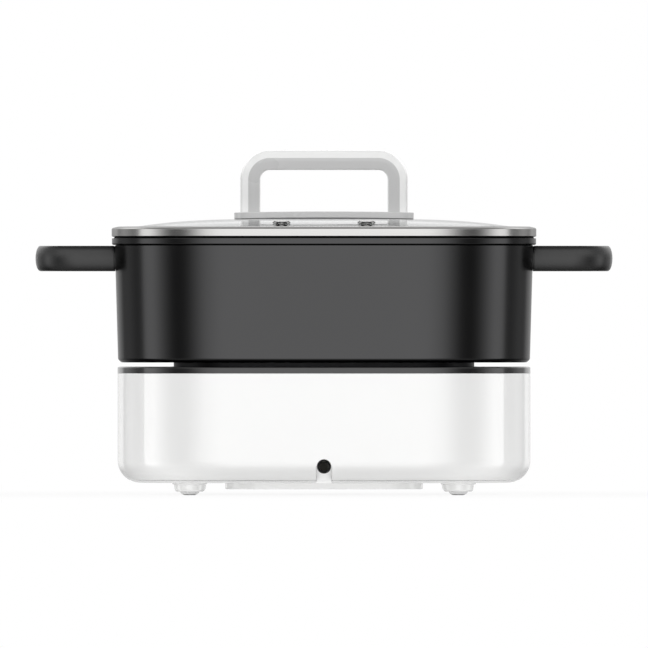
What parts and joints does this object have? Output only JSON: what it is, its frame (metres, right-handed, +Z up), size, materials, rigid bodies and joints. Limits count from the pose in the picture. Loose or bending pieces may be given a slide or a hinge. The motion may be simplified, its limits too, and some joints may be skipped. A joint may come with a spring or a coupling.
{
  "type": "electric hot pot with lid",
  "caption": "Rounded-square electric hot pot: a white heating base, a black non-stick pot with loop handles and a steel-rimmed glass lid with an arch handle and steam vents.",
  "frame": {"origin": "on the table, under the middle of the pot", "axes": "+X to the right pot handle, +Y to the control knob (the mains cord leaves at -Y), +Z up"},
  "size_m": [0.3754, 0.2796, 0.2238],
  "materials": {
    "white_plastic": "gloss",
    "black_panel": "satin",
    "cover_plastic": "gloss",
    "pad_rubber": "matte",
    "seal_rubber": "matte",
    "gland_rubber": "matte",
    "gasket_rubber": "matte",
    "heater_aluminium": "dark coated",
    "element_steel": "oxidised",
    "sheet_steel": "brushed",
    "screw_steel": "zinc plated",
    "fuse_ceramic": "matte",
    "sensor_aluminium": "satin",
    "thermistor_glass": "gloss",
    "spring_steel": "bare",
    "circuit_board": "satin",
    "black_plastic": "matte",
    "blue_plastic": "satin",
    "transformer_core": "taped",
    "sink_aluminium": "matte",
    "terminal_plastic": "matte",
    "brass": "bare",
    "dial_plastic": "satin",
    "knob_plastic": "gloss",
    "lamp_red": "translucent",
    "led_clear": "clear",
    "pot_coating": "non-stick",
    "pot_handle_plastic": "satin",
    "lid_glass": "clear",
    "rim_steel": "polished",
    "vent_steel": "polished",
    "plate_plastic": "gloss",
    "lid_handle_plastic": "gloss"
  },
  "bodies": {
    "base": {"base_housing": "white_plastic", "base_screws": "screw_steel", "board_screws": "screw_steel", "bottom_cover": "cover_plastic", "capacitors": "black_plastic", "control_board": "circuit_board", "control_screws": "screw_steel", "cord_gland": "gland_rubber", "cover_screws": "screw_steel", "dial_ring": "dial_plastic", "foot_back_left": "white_plastic", "foot_back_right": "white_plastic", "foot_front_left": "white_plastic", "foot_front_right": "white_plastic", "foot_pad_back_left": "pad_rubber", "foot_pad_back_right": "pad_rubber", "foot_pad_front_left": "pad_rubber", "foot_pad_front_right": "pad_rubber", "heat_sink": "sink_aluminium", "heater_plate": "heater_aluminium", "heater_screws": "screw_steel", "heater_seal": "seal_rubber", "heater_straps": "sheet_steel", "heating_element": "element_steel", "indicator_led": "led_clear", "indicator_lens": "lamp_red", "potentiometer": "sheet_steel", "potentiometer_nut": "brass", "power_board": "circuit_board", "reflector_pan": "sheet_steel", "relay": "blue_plastic", "sensor_guide": "sheet_steel", "sensor_spring": "spring_steel", "terminal_block": "terminal_plastic", "thermal_fuse": "fuse_ceramic", "top_panel": "black_panel", "transformer": "transformer_core"},
    "pot": {"pot_body": "pot_coating", "pot_handle_left": "pot_handle_plastic", "pot_handle_right": "pot_handle_plastic", "pot_handle_screws": "screw_steel"},
    "lid": {"lid_glass": "lid_glass", "lid_rim": "rim_steel", "steam_vent_left": "vent_steel", "steam_vent_right": "vent_steel", "lid_handle_plate": "plate_plastic", "lid_handle_gasket": "gasket_rubber", "lid_handle": "lid_handle_plastic", "lid_seal_washers": "gasket_rubber", "lid_washers": "screw_steel", "lid_screws": "screw_steel"},
    "temperature_sensor": {"sensor_cap": "sensor_aluminium", "thermistor": "thermistor_glass"},
    "control_knob": {"knob": "knob_plastic", "knob_shaft": "sheet_steel"}
  },
  "joints": [
    {"name": "pot_lift", "type": "slide", "parent": "base", "child": "pot", "axis": [0, 0, 1], "range_m": [0, 0.1]},
    {"name": "lid_lift", "type": "slide", "parent": "pot", "child": "lid", "axis": [0, 0, 1], "range_m": [0, 0.12]},
    {"name": "sensor_rise", "type": "slide", "parent": "base", "child": "temperature_sensor", "axis": [0, 0, 1], "range_m": [0, 0.003], "deforming": ["sensor_spring"]},
    {"name": "knob_turn", "type": "hinge", "parent": "base", "child": "control_knob", "pos_m": [0, 0.1345, 0.0432], "axis": [0, 1, 0], "range_deg": [0, 270]}
  ],
  "couplings": [
    {"joint": "sensor_rise", "follows": "pot_lift", "ratio": 0.03}
  ]
}
